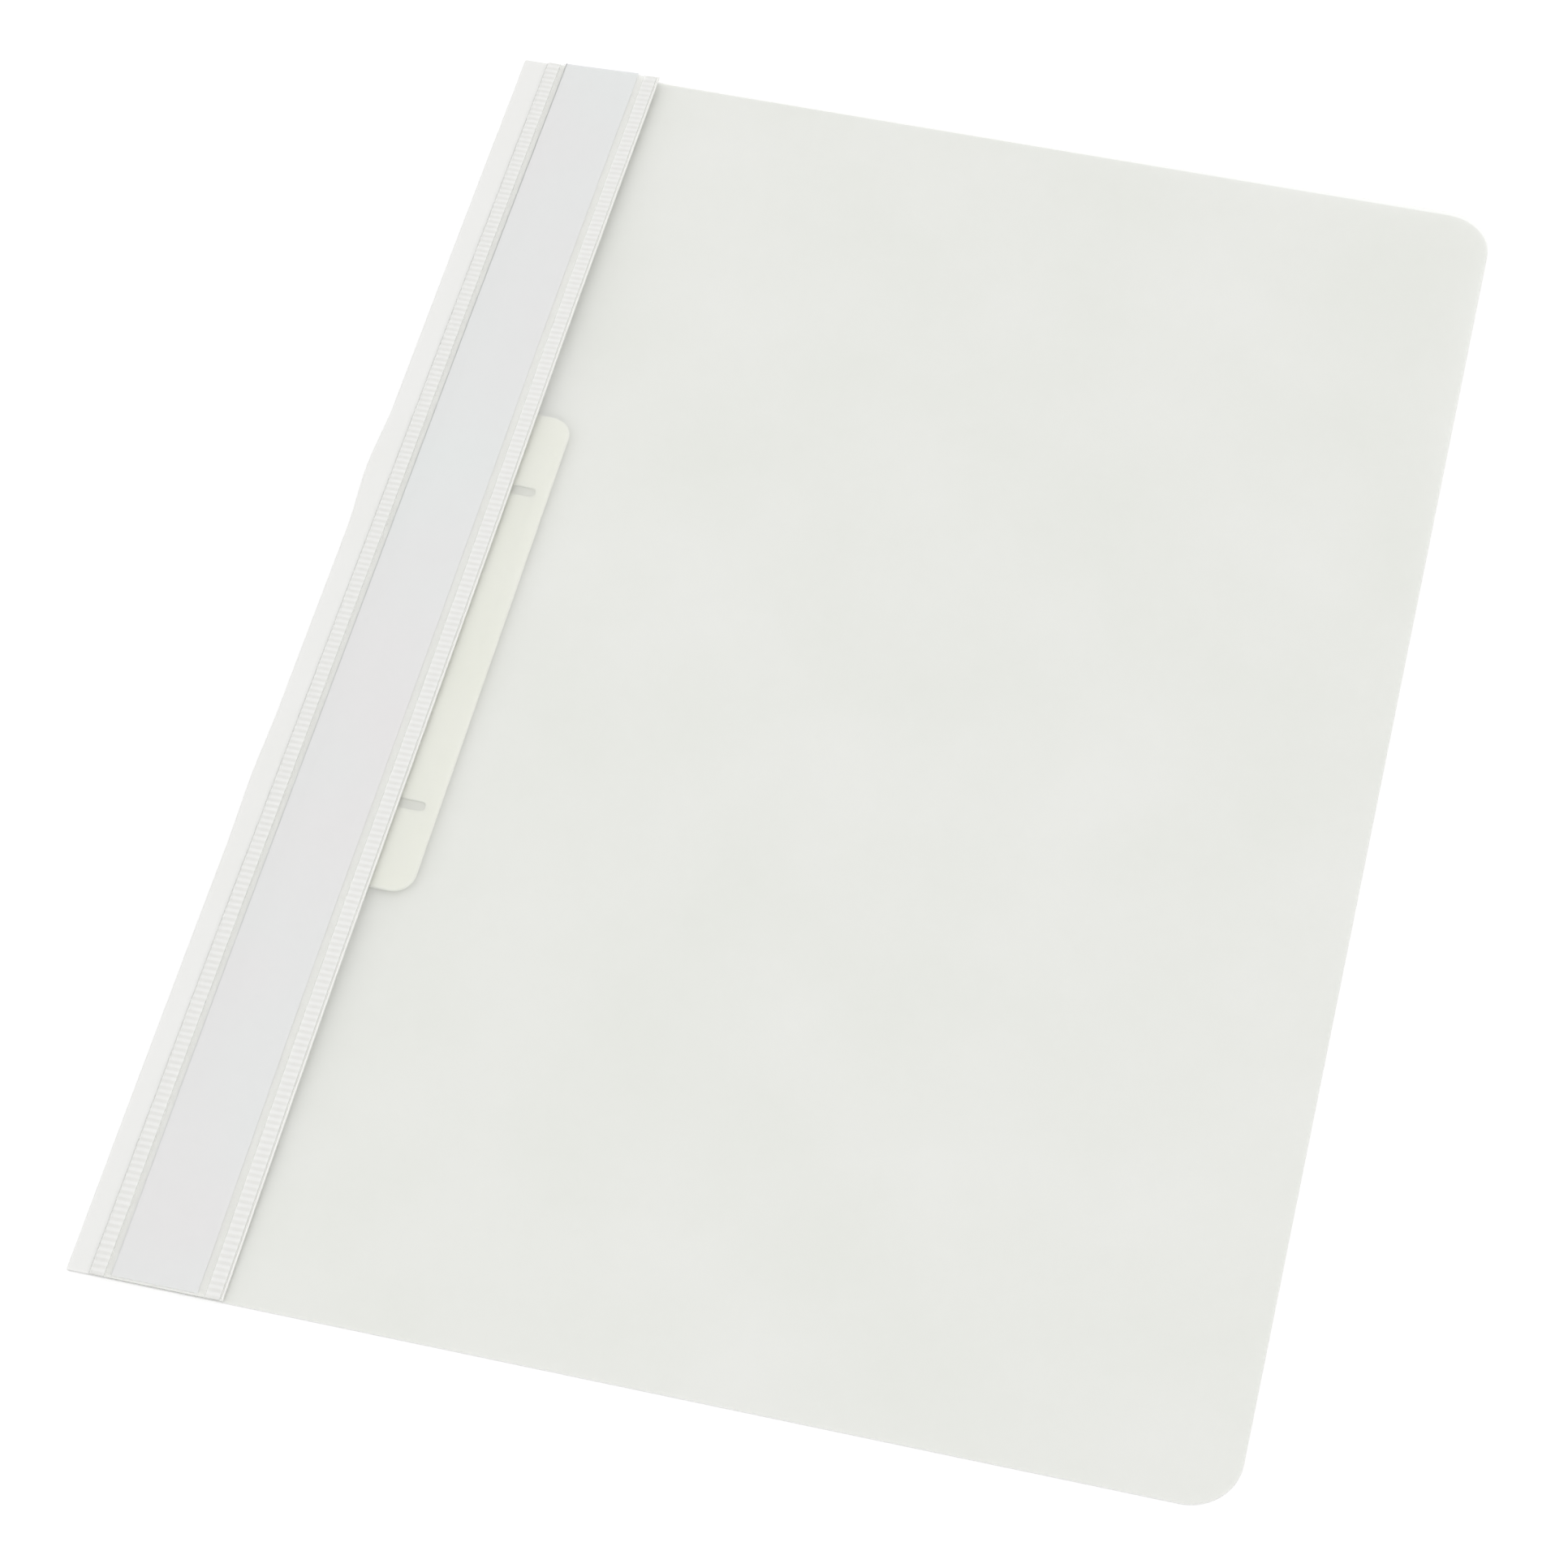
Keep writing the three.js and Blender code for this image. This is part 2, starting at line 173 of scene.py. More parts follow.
def wobble(across, along, size, seed):
    """Smooth unevenness from -1 to 1 with features of that size in millimetres."""
    return noise.noise(Vector((across / size, along / size, seed * 7.3)))


# How the films lie


def resting_level(along):
    from_end = min(along, LEAF_HEIGHT - along)
    return lerp(SEAM_END, OVER_STRIP, smooth(from_end, 0, strip_low.y))


def slow_rise(along):
    low = smooth(along, 0, bar_low.y - TENT_RUN)
    return low * smooth(LEAF_HEIGHT - along, 0, LEAF_HEIGHT - bar_high.y - TENT_RUN)


def seam_level(along):
    return lerp(resting_level(along), SEAM_MIDDLE, slow_rise(along))


def beside_weld(across):
    """From 0 at the left weld to 1 where the films lie on the bar."""
    return min(max((across - LEFT_WELD_END) / (ON_BAR_START - LEFT_WELD_END), 0), 1)


def held_by_bar(across, along):
    """1 on the bar, falling steeply to 0 round its free edge and ends."""
    past_side = max(across - bar_high.x + BAR_CORNER, 0)
    past_end = max(abs(along - FASTENER_MIDDLE) - (bar_high.y - bar_low.y) / 2 + BAR_CORNER, 0)
    outside = max(math.hypot(past_side, past_end) - BAR_CORNER - 0.1, 0)
    return max(1 - outside / BAR_DROP, 0) ** 2


def front_level(across, along):
    """Underside of the front leaf: up over the fastener, then down onto the back leaf."""
    under_pocket = lerp(resting_level(along), OVER_PRONG, slow_rise(along))
    free = lerp(under_pocket, REST, smooth(across, RIGHT_WELD_START, RIGHT_WELD_START + LEAF_FALL_RUN))
    on_bar = lerp(OVER_PRONG, OVER_BAR, smooth(across, PRONG_END, PRONG_END + 4))
    level = lerp(free, on_bar, held_by_bar(across, along))
    curl = smooth(across, LEAF_WIDTH / 2, LEAF_WIDTH) * smooth(along, LEAF_HEIGHT / 2, LEAF_HEIGHT)
    calm = smooth(across, bar_high.x, bar_high.x + 30)
    wave = COVER_WAVE * calm * (1 + wobble(across, along, WAVE_SIZE, 2))
    return lerp(seam_level(along), level, beside_weld(across)) + COVER_CURL * curl + wave


def pocket_lift(across, along):
    """The pocket's free edge stands a little off the leaf, most at the upper end."""
    reach = max(across - LEFT_WELD_END, 0) / (POCKET_END - LEFT_WELD_END)
    rise = smooth(along, LEAF_HEIGHT / 2, LEAF_HEIGHT)
    return lerp(POCKET_LIFT_BOTTOM, POCKET_LIFT_TOP, rise) * reach ** 1.5


def pocket_base_level(across, along):
    raised = lerp(resting_level(along), OVER_PRONG, slow_rise(along))
    lying = lerp(seam_level(along), raised, beside_weld(across))
    return lying + FRONT_FILM + FILM_GAP + pocket_lift(across, along)


def label_level(across, along):
    return pocket_base_level(across, along) + POCKET_FILM + FILM_GAP


def window_level(across, along):
    start = label_low.x - LABEL_SIDE_PLAY
    end = label_high.x + LABEL_SIDE_PLAY
    raised = smooth(across, start - WINDOW_SLOPE, start) * (1 - smooth(across, end, end + WINDOW_SLOPE))
    return label_level(across, along) + (LABEL_SHEET + FILM_GAP) * raised


def first_rung():
    count = math.floor(LEAF_HEIGHT / RUNG_PITCH)
    return (LEAF_HEIGHT - (count - 1) * RUNG_PITCH) / 2


def weld_relief(across, along):
    """Rungs pressed across both welds, fading at the ends of each rung."""
    relief = 0
    for start, end in WELDS:
        rung_start = start + RUNG_INSET
        inside = smooth(across, rung_start, rung_start + RUNG_FADE) * (1 - smooth(across, end - RUNG_FADE, end))
        relief += RUNG_RELIEF * inside * math.cos(2 * math.pi * (along - first_rung()) / RUNG_PITCH)
    return relief


def skew(along):
    """The pocket is welded on slightly askew: further across towards the upper end."""
    return WELD_SKEW * (along / LEAF_HEIGHT - 0.5)


def spine_bulge(along):
    near = [1 - smooth(abs(along - place), 0, BULGE_REACH) for place in PRONG_PLACES]
    return LOWER_BULGE * near[0] + UPPER_BULGE * near[1]


def leaf_edge(along):
    """How far a leaf reaches across: less in its rounded corners."""
    into_corner = max(CORNER_RADIUS - min(along, LEAF_HEIGHT - along), 0)
    return LEAF_WIDTH - CORNER_RADIUS + math.sqrt(max(CORNER_RADIUS ** 2 - into_corner ** 2, 0))


# Meshes


def new_piece(name, points, faces, material, slot, nodes, body=None):
    mesh = bpy.data.meshes.new(name)
    mesh.from_pydata(points, [], faces)
    mesh.validate()
    mesh.materials.append(material)
    piece = bpy.data.objects.new(name, mesh)
    bpy.context.scene.collection.objects.link(piece)
    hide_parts(*nodes)
    if body:
        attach(piece, body)
    return piece


def shade(piece, angle=35):
    """Smooth shading that keeps cut edges sharp."""
    mesh = piece.data
    mesh.update()
    around = {}
    for face in mesh.polygons:
        face.use_smooth = True
        for key in face.edge_keys:
            around.setdefault(key, []).append(face.normal)
    for edge in mesh.edges:
        normals = around.get(edge.key, [])
        if len(normals) == 2 and normals[0].angle(normals[1], 0) > math.radians(angle):
            edge.use_edge_sharp = True
    return piece


def film(name, places, section_at, **dress):
    """A film as a closed body: at each place along, pairs of points on its two faces."""
    rows = [section_at(along) for along in places]
    pairs = len(rows[0])
    points = [
        placed(point[0], along, point[1])
        for along, row in zip(places, rows) for pair in row for point in pair
    ]

    def outer(row, pair):
        return (row * pairs + pair) * 2

    def inner(row, pair):
        return outer(row, pair) + 1

    faces = []
    last = len(rows) - 1
    end = pairs - 1
    for row in range(last):
        up = row + 1
        for pair in range(end):
            faces.append((outer(row, pair), outer(up, pair), outer(up, pair + 1), outer(row, pair + 1)))
            faces.append((inner(row, pair), inner(row, pair + 1), inner(up, pair + 1), inner(up, pair)))
        faces.append((inner(row, 0), inner(up, 0), outer(up, 0), outer(row, 0)))
        faces.append((outer(row, end), outer(up, end), inner(up, end), inner(row, end)))
    for pair in range(end):
        faces.append((outer(0, pair), outer(0, pair + 1), inner(0, pair + 1), inner(0, pair)))
        faces.append((outer(last, pair), inner(last, pair), inner(last, pair + 1), outer(last, pair + 1)))
    return shade(new_piece(name, points, faces, **dress))


def sheet_section(columns, along, level_at, thickness, shift=0):
    levels = [level_at(across, along) for across in columns]
    return [
        ((across + shift, level), (across + shift, level + thickness))
        for across, level in zip(columns, levels)
    ]


def leaf_places(steps, extra=()):
    """Places along a leaf, closer together in its rounded corners."""
    corner = [CORNER_RADIUS * (1 - math.cos(turn)) for turn in evenly(0, math.pi / 2, 12)]
    middle = evenly(CORNER_RADIUS, LEAF_HEIGHT - CORNER_RADIUS, steps)[1:-1]
    upper = [LEAF_HEIGHT - place for place in corner]
    return sorted({round(place, 4) for place in [*corner, *middle, *extra, *upper]})


# Materials


def linear(hex_colour):
    """A hex sRGB colour as linear RGBA."""
    channels = [int(hex_colour[i:i + 2], 16) / 255 for i in (1, 3, 5)]
    return tuple(c / 12.92 if c <= 0.04045 else ((c + 0.055) / 1.055) ** 2.4 for c in channels) + (1,)


def node(tree, kind, inputs=None, **settings):
    """Adds one node, sets its properties and fills its inputs with values, nodes or sockets."""
    made = tree.nodes.new(kind)
    for key, value in settings.items():
        setattr(made, key, value)
    for key, value in (inputs or {}).items():
        if isinstance(value, bpy.types.Node):
            value = value.outputs[0]
        if isinstance(value, bpy.types.NodeSocket):
            tree.links.new(value, made.inputs[key])
        else:
            made.inputs[key].default_value = value
    return made


def blank_material(name):
    material = bpy.data.materials.new(name)
    material.use_nodes = True
    tree = material.node_tree
    tree.nodes.clear()
    return material, tree, node(tree, "ShaderNodeTexCoord").outputs["Object"]


def band_mask(tree, across, start, end, blur=0.1):
    """1 between two places across, fading to 0 over the blur on either side."""
    middle = ((start + end) / 2 - HALF_WIDTH) * MM
    half = (end - start) / 2 * MM
    aside = node(tree, "ShaderNodeMath", {0: across, 1: middle}, operation="SUBTRACT")
    away = node(tree, "ShaderNodeMath", {0: aside}, operation="ABSOLUTE")
    return node(tree, "ShaderNodeMapRange", {
        "Value": away, "From Min": half - blur * MM, "From Max": half + blur * MM,
        "To Min": 1.0, "To Max": 0.0,
    })


def unskewed_across(tree, place):
    """The place across, with the pocket's slight skew taken out."""
    axes = node(tree, "ShaderNodeSeparateXYZ", {"Vector": place})
    return node(tree, "ShaderNodeMath", {
        0: axes.outputs["Y"], 1: -WELD_SKEW / LEAF_HEIGHT, 2: axes.outputs["X"],
    }, operation="MULTIPLY_ADD")


def matt_polypropylene(name, pale, deep, roughness, alpha, grit_mm, grit_depth, glow=0.0, glow_mm=0.4):
    """Matt polypropylene, IOR 1.49: the embossing roll or the mould leaves a fine grit that takes its gloss,
    and it is faintly cloudy. Where it glows, light passes through it and softens the shade behind."""
    material, tree, place = blank_material(name)
    cloud = node(tree, "ShaderNodeTexNoise", {"Vector": place, "Scale": 1 / (38 * MM), "Detail": 3.0})
    grit = node(tree, "ShaderNodeTexNoise", {"Vector": place, "Scale": 1 / (grit_mm * MM), "Detail": 2.0})
    shares = node(tree, "ShaderNodeMapRange", {"Value": cloud, "From Min": 0.3, "From Max": 0.7})
    colour = node(tree, "ShaderNodeMix", {
        0: shares, 6: linear(deep), 7: linear(pale),
    }, data_type="RGBA").outputs[2]
    matt = node(tree, "ShaderNodeMapRange", {
        "Value": grit, "From Min": 0.3, "From Max": 0.7,
        "To Min": roughness - 0.05, "To Max": roughness + 0.06,
    })
    relief = node(tree, "ShaderNodeBump", {"Height": grit, "Distance": grit_depth * MM, "Strength": 0.35})
    shader = node(tree, "ShaderNodeBsdfPrincipled", {
        "Base Color": colour,
        "Roughness": matt,
        "IOR": 1.49,
        "Alpha": alpha,
        "Subsurface Weight": glow,
        "Subsurface Radius": (1.0, 1.0, 1.0),
        "Subsurface Scale": glow_mm * MM,
        "Normal": relief,
    })
    node(tree, "ShaderNodeOutputMaterial", {"Surface": shader})
    return material


def welded_window_film(name):
    """Clear, smooth polypropylene film: glossy and see-through, but pressed white in the rungs of its two
    ladder welds, with the rungs' light and shade painted into those stripes; its slit edge carries a painted
    highlight."""
    material, tree, place = blank_material(name)
    across = unskewed_across(tree, place)
    left, right = [band_mask(tree, across, start + RUNG_INSET, end) for start, end in WELDS]
    in_weld = node(tree, "ShaderNodeMath", {0: left, 1: right}, operation="MAXIMUM")
    # Painted highlight: a bright, less see-through line along the pocket's slit edge.
    edge = band_mask(tree, across, POCKET_END - 0.32, POCKET_END + 1, 0.05)

    along = node(tree, "ShaderNodeSeparateXYZ", {"Vector": place}).outputs["Y"]
    turns = 2 * math.pi / (RUNG_PITCH * MM)
    start = (first_rung() - HALF_HEIGHT) * MM
    phase = node(tree, "ShaderNodeMath", {0: along, 1: turns, 2: -turns * start}, operation="MULTIPLY_ADD")
    wave = node(tree, "ShaderNodeMath", {0: phase}, operation="COSINE")
    rung = node(tree, "ShaderNodeMapRange", {"Value": wave, "From Min": -0.6, "From Max": 0.6})

    # Painted light and shade of the rungs: the stripes go lighter and darker with the rungs' relief, on top of
    # their pressed whitening.
    welded = node(tree, "ShaderNodeMix", {
        0: rung, 6: linear("#F6F6F3"), 7: linear("#FFFFFD"),
    }, data_type="RGBA").outputs[2]
    colour = node(tree, "ShaderNodeMix", {
        0: in_weld, 6: linear("#F9FAF7"), 7: welded,
    }, data_type="RGBA").outputs[2]
    colour = node(tree, "ShaderNodeMix", {
        0: edge, 6: colour, 7: linear("#FFFFFC"),
    }, data_type="RGBA").outputs[2]
    cover = node(tree, "ShaderNodeMath", {0: in_weld, 1: edge}, operation="MAXIMUM")
    fine = node(tree, "ShaderNodeTexNoise", {"Vector": place, "Scale": 1 / (0.8 * MM), "Detail": 2.0})
    shader = node(tree, "ShaderNodeBsdfPrincipled", {
        "Base Color": colour,
        "Roughness": node(tree, "ShaderNodeMapRange", {"Value": in_weld, "To Min": 0.22, "To Max": 0.5}),
        "IOR": 1.49,
        "Alpha": node(tree, "ShaderNodeMapRange", {"Value": cover, "To Min": 0.18, "To Max": 0.75}),
        "Subsurface Weight": 0.12,
        "Subsurface Radius": (1.0, 1.0, 1.0),
        "Subsurface Scale": 1.0 * MM,
        "Normal": node(tree, "ShaderNodeBump", {"Height": fine, "Distance": 0.008 * MM, "Strength": 0.3}),
    })
    node(tree, "ShaderNodeOutputMaterial", {"Surface": shader})
    return material


def label_paper(name):
    """Uncoated wood-free paper: no gloss, short fibres about 0.6 mm long, and a painted shadow along its left
    edge, darker towards the top.
    """
    material, tree, place = blank_material(name)
    fibre = node(tree, "ShaderNodeTexNoise", {"Vector": place, "Scale": 1 / (0.6 * MM), "Detail": 4.0})
    cloud = node(tree, "ShaderNodeTexNoise", {"Vector": place, "Scale": 1 / (60 * MM), "Detail": 2.0})
    pulp = node(tree, "ShaderNodeMix", {
        0: fibre, 6: linear("#E3E0E2"), 7: linear("#E7E4E6"),
    }, data_type="RGBA").outputs[2]
    tint = node(tree, "ShaderNodeMapRange", {
        "Value": cloud, "From Min": 0.3, "From Max": 0.7, "To Max": 0.7,
    })
    sheet = node(tree, "ShaderNodeMix", {
        0: tint, 6: pulp, 7: linear("#E2E8E8"),
    }, data_type="RGBA").outputs[2]
    across = unskewed_across(tree, place)
    along = node(tree, "ShaderNodeSeparateXYZ", {"Vector": place}).outputs["Y"]
    # Painted shadow: a dark grey line along the label's left edge, at 0.3 strength at the lower end and full
    # strength at the upper end.
    higher = node(tree, "ShaderNodeMapRange", {
        "Value": along, "From Min": -HALF_HEIGHT * MM, "From Max": HALF_HEIGHT * MM, "To Min": 0.3,
    })
    edge = band_mask(tree, across, label_low.x - 1, label_low.x + 0.24, 0.05)
    cut = node(tree, "ShaderNodeMath", {0: edge, 1: higher}, operation="MULTIPLY")
    colour = node(tree, "ShaderNodeMix", {
        0: cut, 6: sheet, 7: linear("#9A9B9B"),
    }, data_type="RGBA").outputs[2]
    rough = node(tree, "ShaderNodeMapRange", {"Value": fibre, "To Min": 0.78, "To Max": 0.94})
    shader = node(tree, "ShaderNodeBsdfPrincipled", {
        "Base Color": colour,
        "Roughness": rough,
        "IOR": 1.5,
        "Normal": node(tree, "ShaderNodeBump", {"Height": fibre, "Distance": 0.03 * MM, "Strength": 0.4}),
    })
    node(tree, "ShaderNodeOutputMaterial", {"Surface": shader})
    return material


def tinned_steel(name):
    """Cold-rolled, tinned steel sheet: bright, with fine rolling lines along the prongs."""
    material, tree, place = blank_material(name)
    stretched = node(tree, "ShaderNodeMapping", {"Vector": place, "Scale": (1, 0.04, 1)})
    lines = node(tree, "ShaderNodeTexNoise", {"Vector": stretched, "Scale": 1 / (0.15 * MM), "Detail": 3.0})
    cloud = node(tree, "ShaderNodeTexNoise", {"Vector": place, "Scale": 1 / (4 * MM), "Detail": 2.0})
    colour = node(tree, "ShaderNodeMix", {
        0: cloud, 6: linear("#B4B7B8"), 7: linear("#C6C9CA"),
    }, data_type="RGBA").outputs[2]
    shader = node(tree, "ShaderNodeBsdfPrincipled", {
        "Base Color": colour,
        "Roughness": node(tree, "ShaderNodeMapRange", {"Value": lines, "To Min": 0.22, "To Max": 0.42}),
        "Metallic": 1.0,
        "Normal": node(tree, "ShaderNodeBump", {"Height": lines, "Distance": 0.01 * MM, "Strength": 0.3}),
    })
    node(tree, "ShaderNodeOutputMaterial", {"Surface": shader})
    return material


WHITE_FILM = matt_polypropylene(
    "white_polypropylene_film", "#EFEFED", "#EDEDEB", roughness=0.42, alpha=1.0, grit_mm=0.25,
    grit_depth=0.02,
)
CLEAR_FILM = matt_polypropylene(
    "clear_matted_polypropylene_film", "#F7F8F4", "#F4F6F0", roughness=0.4, alpha=0.25, grit_mm=0.3,
    grit_depth=0.012,
)
# The back leaf's white film, painted a shade darker round the spine fold: painted shade.
SHADED_FOLD_FILM = matt_polypropylene(
    "white_polypropylene_fold_painted_shade", "#EDEDEB", "#EBEBE8", roughness=0.42, alpha=1.0, grit_mm=0.25,
    grit_depth=0.02, glow=0.5,
)
MILKY_FILM = matt_polypropylene(
    "milky_polypropylene_film", "#F8F8F3", "#F5F5EF", roughness=0.4, alpha=1.0, grit_mm=0.25,
    grit_depth=0.012, glow=0.5, glow_mm=1.0,
)
CREAM_BAR = matt_polypropylene(
    "cream_moulded_polypropylene", "#F4F4EA", "#F2F2E7", roughness=0.45, alpha=1.0, grit_mm=0.4,
    grit_depth=0.015, glow=0.8, glow_mm=1.2,
)
WINDOW_FILM = welded_window_film("clear_smooth_polypropylene_film")
LABEL_PAPER = label_paper("uncoated_label_paper")
TINNED_STEEL = tinned_steel("tinned_steel_sheet")


# Pieces

# The films of the pocket share these columns, so that none cuts through the next
LABEL_COLUMNS = [*evenly(label_low.x, ON_BAR_START, 4), *evenly(ON_BAR_START, label_high.x, 8)[1:]]


def make_back_film():
    """The flat back leaf, from the spine fold to its rounded free corners."""
    def section(along):
        start = (seam_level(along) + FRONT_FILM) / 2 - spine_bulge(along)
        columns = [start, *evenly(4, LEAF_WIDTH - CORNER_RADIUS - 0.5, 26), leaf_edge(along)]
        return sheet_section(columns, along, lambda across, along: 0, BACK_FILM)

    film(
        "back_film", leaf_places(60), section,
        material=WHITE_FILM, body="back_leaf", slot="white_film", nodes=["back_cover"],
    )


def make_spine_film():
    """The fold round the spine, the band beside it, and its edge that runs under the left weld."""
    edge_under_weld = [(2.6, -0.02, 0.12), (1.4, -0.02, 0.12), (0.42, 0.0, 0.12), (0.3, 0.14, 0.12)]
    crease = [(0.05, 0.17, 0.2), (-0.2, 0.19, 0.26), (-0.6, 0.2, BACK_FILM)]

    def section(along):
        seam = seam_level(along)
        height = seam + FRONT_FILM
        radius = height / 2
        within = radius - BACK_FILM
        middle = radius - spine_bulge(along)
        pairs = []
        for start, rows in ((LEAF_START, edge_under_weld), (CREASE, crease)):
            for past, above, thick in rows:
                across = start + past + skew(along)
                pairs.append(((across, seam + above), (across, seam + above - thick)))
        for across in evenly(CREASE - BLEND_BEFORE + skew(along), middle + 0.2, 3):
            pairs.append(((across, height), (across, height - BACK_FILM)))
        for turn in evenly(math.pi / 2, 1.5 * math.pi, 18):
            outer = (middle + radius * math.cos(turn), radius + radius * math.sin(turn))
            pairs.append((outer, (middle + within * math.cos(turn), radius + within * math.sin(turn))))
        return pairs

    piece = film(
        "spine_film", evenly(0, LEAF_HEIGHT, 160), section,
        material=SHADED_FOLD_FILM, slot="white_film", nodes=["back_cover"],
    )
    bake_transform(piece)


def make_front_film():
    """The clear front leaf, with close rows and columns where it drops off the bar."""
    near_ends = []
    for bar_end, side in ((bar_low.y, 1), (bar_high.y, -1)):
        near_ends += evenly(bar_end - side * (BAR_DROP + 0.3), bar_end + side * BAR_CORNER, 22)
    columns = [
        *evenly(LEFT_WELD_END, 27, 8), *evenly(28, bar_high.x - 0.1, 20),
        *evenly(bar_high.x + 0.1, bar_high.x + BAR_DROP + 0.2, 14),
        *evenly(bar_high.x + BAR_DROP + 4, LEAF_WIDTH - CORNER_RADIUS - 0.5, 36),
    ]

    def section(along):
        start = sheet_section([LEAF_START + 0.5], along, front_level, FRONT_FILM, skew(along))
        return start + sheet_section([*columns, leaf_edge(along)], along, front_level, FRONT_FILM)

    film(
        "front_film", leaf_places(120, near_ends), section,
        material=CLEAR_FILM, body="front_leaf", slot="clear_film", nodes=["front_cover"],
    )


def make_pocket_base():
    """The pocket's lower film, in steps of the label's columns and the right weld's."""
    columns = [
        LEAF_START + 0.5, LEFT_WELD_END, *LABEL_COLUMNS,
        RIGHT_WELD_START, RIGHT_WELD_END, POCKET_END,
    ]
    film(
        "pocket_base_film", evenly(0, LEAF_HEIGHT, 120),
        lambda along: sheet_section(columns, along, pocket_base_level, POCKET_FILM, skew(along)),
        material=MILKY_FILM, body="front_leaf", slot="white_film", nodes=["label_pocket_base"],
    )


def make_pocket_window():
    """The clear film over the label, with a row of rungs pressed along either side."""
    rows_per_rung = 4
    rows = round(LEAF_HEIGHT / RUNG_PITCH) * rows_per_rung
    slope_start = label_low.x - LABEL_SIDE_PLAY - WINDOW_SLOPE
    slope_end = label_high.x + LABEL_SIDE_PLAY + WINDOW_SLOPE
    columns = [
        *evenly(LEAF_START, LEFT_WELD_END, 9), *evenly(slope_start, slope_start + WINDOW_SLOPE, 3),
        *LABEL_COLUMNS, *evenly(slope_end - WINDOW_SLOPE, slope_end, 3),
        *evenly(RIGHT_WELD_START, RIGHT_WELD_END, 9), POCKET_END,
    ]

    def section(along):
        pairs = []
        for across in columns:
            level = window_level(across, along)
            pressed = WELD_PRESS * (1 - smooth(across, LEAF_START, LEAF_START + 0.6))
            top = level + POCKET_FILM - pressed + weld_relief(across, along)
            aside = across + skew(along)
            pairs.append(((aside, min(level, top - THINNEST_FILM)), (aside, top)))
        return pairs

    film(
        "pocket_window_film", evenly(0, LEAF_HEIGHT, rows), section,
        material=WINDOW_FILM, body="front_leaf", slot="window_film", nodes=["label_pocket_window"],
    )


def make_label():
    film(
        "blank_label", evenly(label_low.y, label_high.y, 100),
        lambda along: sheet_section(LABEL_COLUMNS, along, label_level, LABEL_SHEET, skew(along)),
        material=LABEL_PAPER, body="front_leaf", slot="paper", nodes=["label_insert"],
    )


def rounded_loop(left, low, right, high, radius, steps=10):
    """Points round a rectangle with round corners, counterclockwise."""
    centres = [(right - radius, low + radius), (right - radius, high - radius),
               (left + radius, high - radius), (left + radius, low + radius)]
    loop = []
    for quarter, (across, along) in enumerate(centres):
        for turn in evenly((quarter - 1) * math.pi / 2, quarter * math.pi / 2, steps):
            loop.append((across + radius * math.cos(turn), along + radius * math.sin(turn)))
    return loop


def make_bar():
    """The cream bar with its two slots, every edge rounded as a mould leaves it. Past the prongs a thin web
    closes the slots, since the ground in them is as light as the bar."""
    def outer_loop(inset):
        return rounded_loop(
            bar_low.x + inset, bar_low.y + inset, bar_high.x - inset, bar_high.y - inset, BAR_CORNER - inset,
        )

    def slot_loop(place, inset):
        half = SLOT_WIDTH / 2 + inset
        return rounded_loop(SLOT_START - inset, place - half, SLOT_END + inset, place + half, half * 0.98)

    turns = evenly(0, math.pi / 2, 4)
    near = [BAR_ROUNDING * (1 - math.cos(turn)) for turn in turns]
    far = [BAR_ROUNDING * (1 - math.sin(turn)) for turn in turns]
    levels = [(inset, bar_low.z + rise) for inset, rise in zip(far, near)]
    levels += [(inset, bar_high.z - rise) for inset, rise in zip(near, far)]

    solid = bmesh.new()
    rims = ([], [])
    for loop_at in (outer_loop, *(lambda inset, p=place: slot_loop(p, inset) for place in PRONG_PLACES)):
        rings = [[solid.verts.new(placed(*point, up)) for point in loop_at(inset)] for inset, up in levels]
        count = len(rings[0])
        for lower, upper in zip(rings, rings[1:]):
            for i in range(count):
                j = (i + 1) % count
                solid.faces.new((lower[i], lower[j], upper[j], upper[i]))
        for rim, ring in zip(rims, (rings[0], rings[-1])):
            rim += [solid.edges.get((ring[i], ring[(i + 1) % count])) for i in range(count)]
    for place in PRONG_PLACES:
        middle = placed((WEB_START + SLOT_END) / 2, place, WEB_MIDDLE)
        extent = Vector((SLOT_END - WEB_START + 0.1, SLOT_WIDTH + 0.2, WEB_SHEET)) * MM
        bmesh.ops.create_cube(solid, size=1, matrix=Matrix.LocRotScale(middle, None, extent))
    for rim in rims:
        bmesh.ops.triangle_fill(solid, edges=rim, use_beauty=True)
    bmesh.ops.recalc_face_normals(solid, faces=solid.faces)
    piece = new_piece(
        "moulded_bar", [], [],
        material=CREAM_BAR, body="back_leaf", slot="cream_plastic", nodes=["cover_bar"],
    )
    solid.to_mesh(piece.data)
    solid.free()
    shade(piece)


def dress_node(name, material):
    """A CAD node that keeps its own shape and gets a finished material."""
    item = frame["nodes"][name]
    item.data.materials.clear()
    item.data.materials.append(material)


# Stage: pale floor, soft light and the photograph's camera


def seen_directly(tree):
    """1 for rays from the camera, from gloss and through clear film, else 0."""
    path = node(tree, "ShaderNodeLightPath")
    first = node(tree, "ShaderNodeMath", {
        0: path.outputs["Is Camera Ray"], 1: path.outputs["Is Glossy Ray"],
    }, operation="MAXIMUM")
    return node(tree, "ShaderNodeMath", {
        0: first, 1: path.outputs["Is Transmission Ray"],
    }, operation="MAXIMUM")


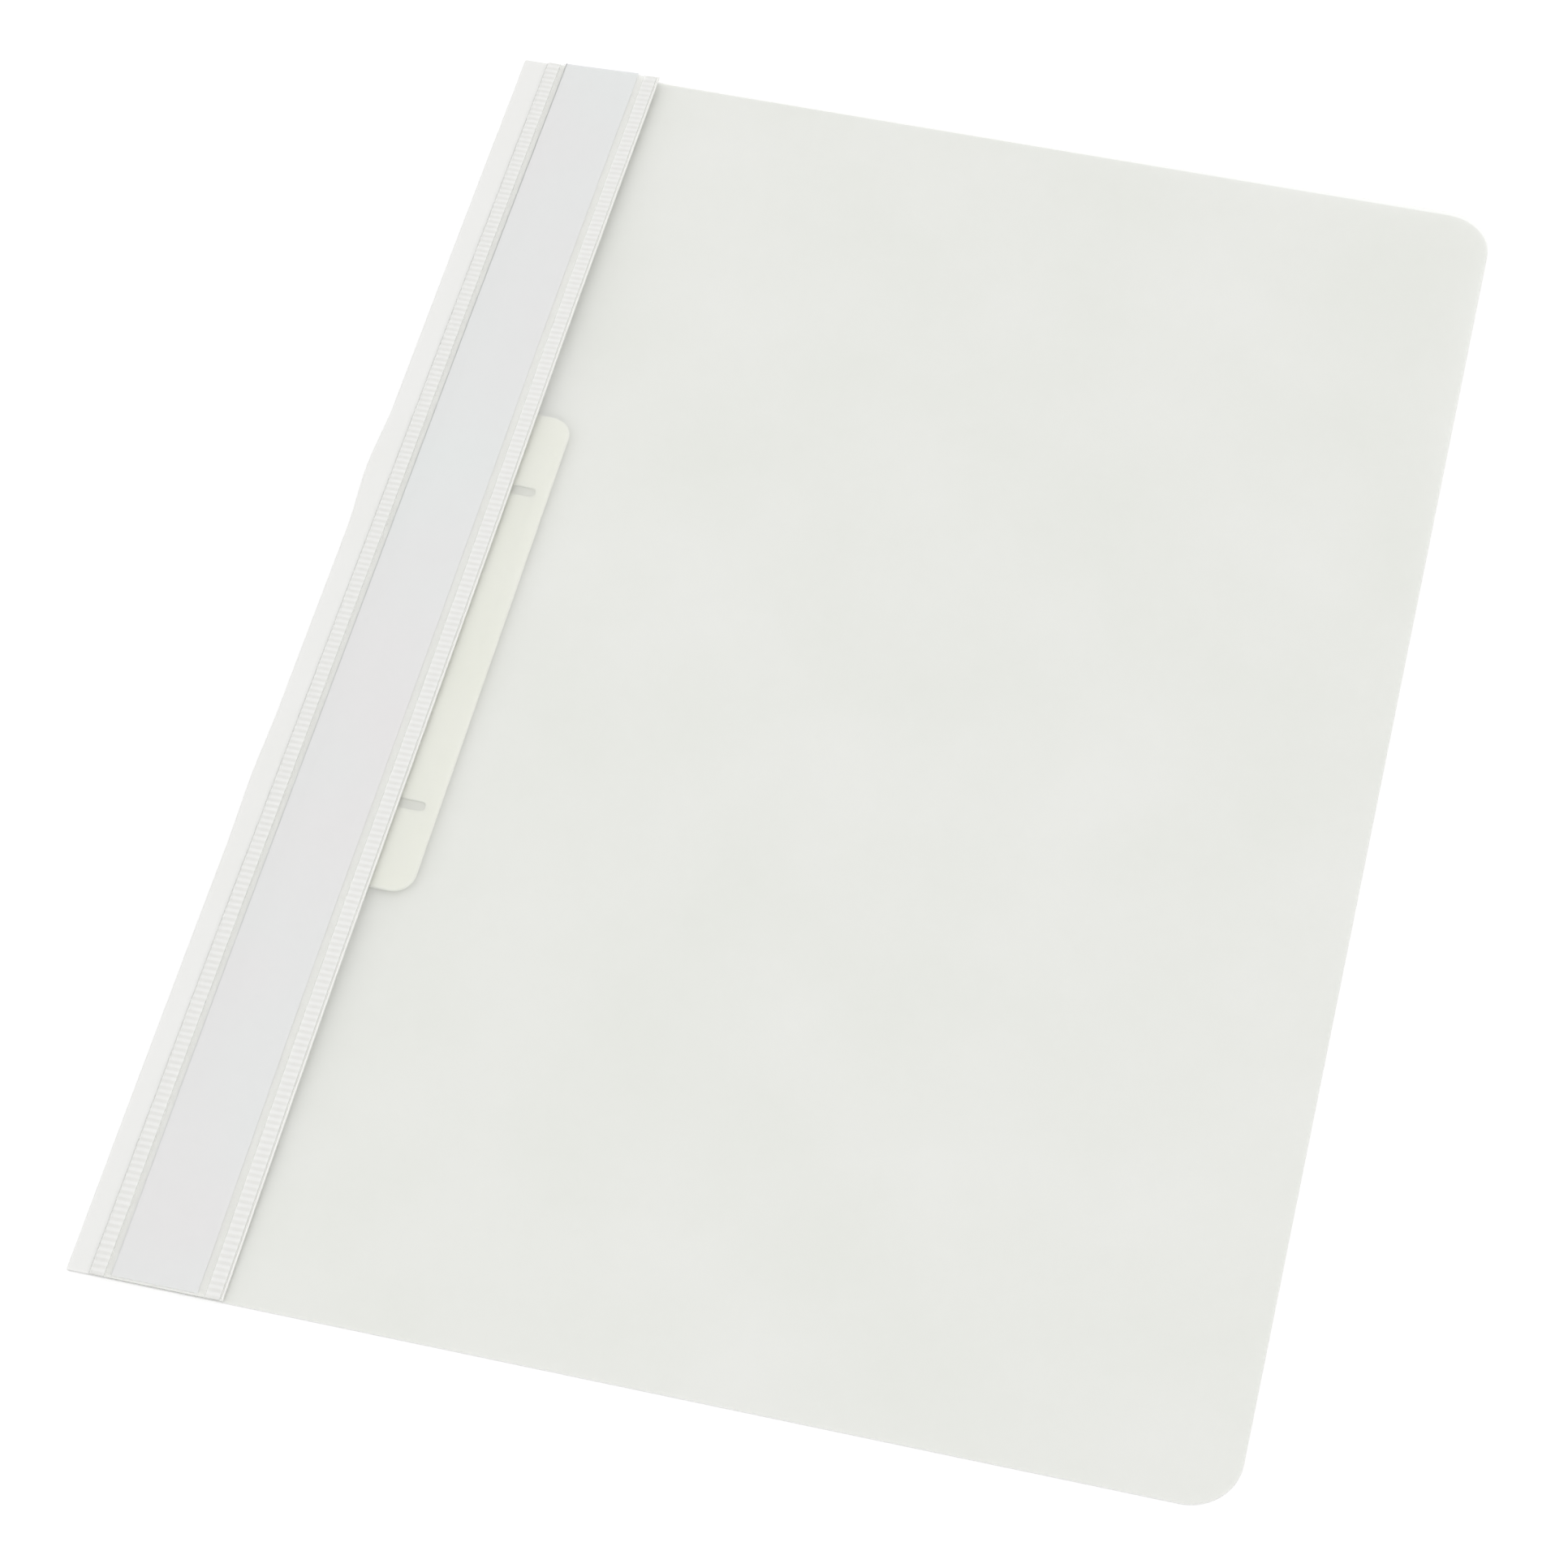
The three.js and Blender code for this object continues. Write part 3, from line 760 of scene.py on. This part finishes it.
def make_floor():
    reach = 4
    mesh = bpy.data.meshes.new("floor")
    corners = [(-reach, -reach, 0), (reach, -reach, 0), (reach, reach, 0), (-reach, reach, 0)]
    mesh.from_pydata(corners, [], [(0, 1, 2, 3)])
    floor = bpy.data.objects.new("floor", mesh)
    floor.location.z = -0.05 * MM
    bpy.context.scene.collection.objects.link(floor)

    material, tree, _ = blank_material("pale_floor")
    seen = seen_directly(tree)
    colour = node(tree, "ShaderNodeMix", {
        0: seen, 6: (0.82, 0.82, 0.82, 1), 7: (1, 1, 1, 1),
    }, data_type="RGBA").outputs[2]
    matt = node(tree, "ShaderNodeBsdfDiffuse", {"Color": colour})
    glow = node(tree, "ShaderNodeEmission", {"Color": (1, 1, 1, 1), "Strength": 0.08})
    both = node(tree, "ShaderNodeAddShader", {0: matt, 1: glow})
    surface = node(tree, "ShaderNodeMixShader", {0: seen, 1: matt, 2: both})
    node(tree, "ShaderNodeOutputMaterial", {"Surface": surface})
    mesh.materials.append(material)


def make_light():
    world = bpy.data.worlds.new("studio")
    bpy.context.scene.world = world
    world.use_nodes = True
    tree = world.node_tree
    tree.nodes.clear()
    strength = node(tree, "ShaderNodeMapRange", {
        "Value": seen_directly(tree), "To Min": 0.94, "To Max": 1.0,
    })
    background = node(tree, "ShaderNodeBackground", {"Color": (1, 1, 1, 1), "Strength": strength})
    node(tree, "ShaderNodeOutputWorld", {"Surface": background})

    lamp = bpy.data.lights.new("soft_lamp", "SUN")
    lamp.energy = 0.36
    lamp.angle = math.radians(20)
    holder = bpy.data.objects.new("soft_lamp", lamp)
    bpy.context.scene.collection.objects.link(holder)
    toward_lamp = Vector((0.4, -0.4, 0.9))
    holder.rotation_euler = toward_lamp.to_track_quat("Z", "Y").to_euler()


def make_camera():
    camera = bpy.data.cameras.new("camera")
    camera.sensor_width = 36
    camera.lens = CAMERA_LENS
    camera.shift_x = CAMERA_SHIFT
    holder = bpy.data.objects.new("camera", camera)
    bpy.context.scene.collection.objects.link(holder)
    place = Vector(CAMERA_PLACE)
    aim = (Vector(CAMERA_TARGET) - place).to_track_quat("-Z", "Y").to_matrix()
    roll = Matrix.Rotation(math.radians(CAMERA_ROLL), 3, "Z")
    holder.matrix_world = Matrix.Translation(place) @ (aim @ roll).to_4x4()
    bpy.context.scene.camera = holder


make_camera()
make_light()
make_floor()
make_back_film()
make_spine_film()
make_front_film()
make_pocket_base()
make_pocket_window()
make_label()
make_bar()
dress_node("filing_strip", WHITE_FILM)
dress_node("tongue_strip", TINNED_STEEL)
bpy.context.scene.view_settings.view_transform = "Standard"
